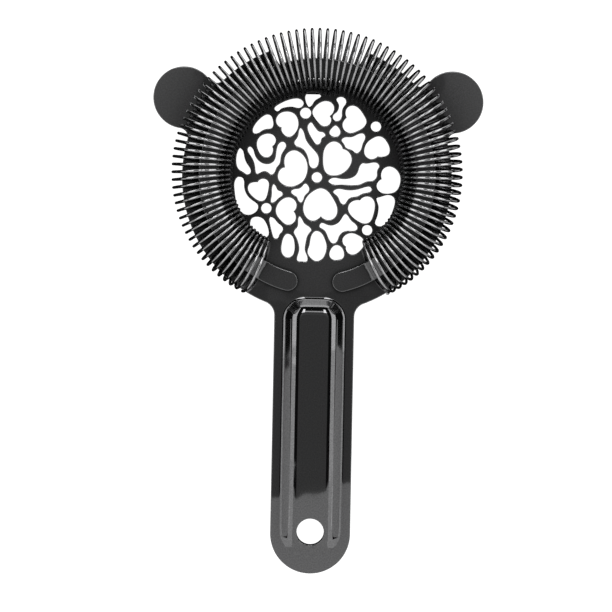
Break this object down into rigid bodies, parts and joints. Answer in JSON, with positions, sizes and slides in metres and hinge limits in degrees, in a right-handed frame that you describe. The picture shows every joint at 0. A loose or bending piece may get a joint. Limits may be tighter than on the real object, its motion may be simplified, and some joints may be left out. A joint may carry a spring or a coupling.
{
  "type": "hawthorne strainer",
  "caption": "Cocktail strainer: a perforated round plate with two ears, a finger tab and a ribbed handle, and a coil spring ring round its rim.",
  "frame": {"origin": "centre of the round plate, on the face that carries the spring", "axes": "+Z out of the spring-side face, into the shaker; +Y towards the finger tab, the handle runs along -Y; +X to the right"},
  "size_m": [0.1056, 0.1733, 0.0324],
  "materials": {
    "plate": "polished gunmetal plating",
    "strip": "polished gunmetal plating",
    "spring_wire": "bright dark-plated spring wire"
  },
  "bodies": {
    "strainer": {"strainer_plate": "plate", "spring_retainer": "strip"},
    "spring": {"coil_spring": "spring_wire"}
  },
  "joints": [
    {"name": "coil_shift", "type": "slide", "parent": "strainer", "child": "spring", "axis": [0, -1, 0], "range_m": [0, 0.002], "stiffness_N_per_m": 300}
  ]
}
